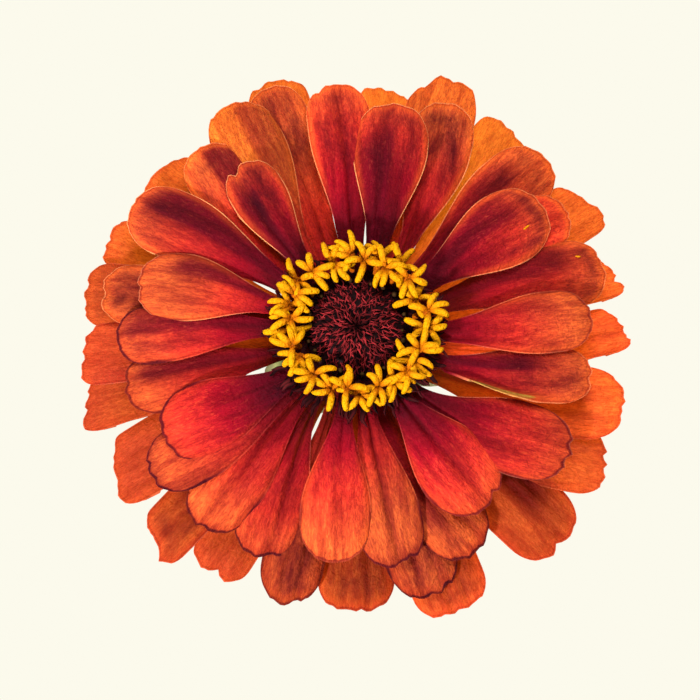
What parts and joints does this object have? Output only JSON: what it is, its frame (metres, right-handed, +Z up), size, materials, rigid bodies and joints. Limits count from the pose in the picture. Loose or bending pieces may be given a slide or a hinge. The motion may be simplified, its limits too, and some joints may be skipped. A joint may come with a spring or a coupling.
{
  "type": "zinnia flower",
  "caption": "Open zinnia flower head with layered spoon-shaped petals, a dark chaffy centre, a ring of star florets and a green bract cup.",
  "frame": {"origin": "middle of the flower's outline, on the surface it rests on", "axes": "+Z up out of the flower's face, +Y towards the top of the picture"},
  "size_m": [0.0801, 0.0807, 0.0167],
  "materials": {
    "bract_cup": "matte",
    "outer_petals": "matte",
    "middle_petals": "matte",
    "inner_petals": "matte",
    "dark_disc": "matte",
    "yellow_florets": "matte"
  },
  "bodies": {
    "root": {"bract_cup": "bract_cup", "outer_petals": "outer_petals", "middle_petals": "middle_petals", "inner_petals": "inner_petals", "dark_disc": "dark_disc", "yellow_florets": "yellow_florets"}
  },
  "joints": []
}
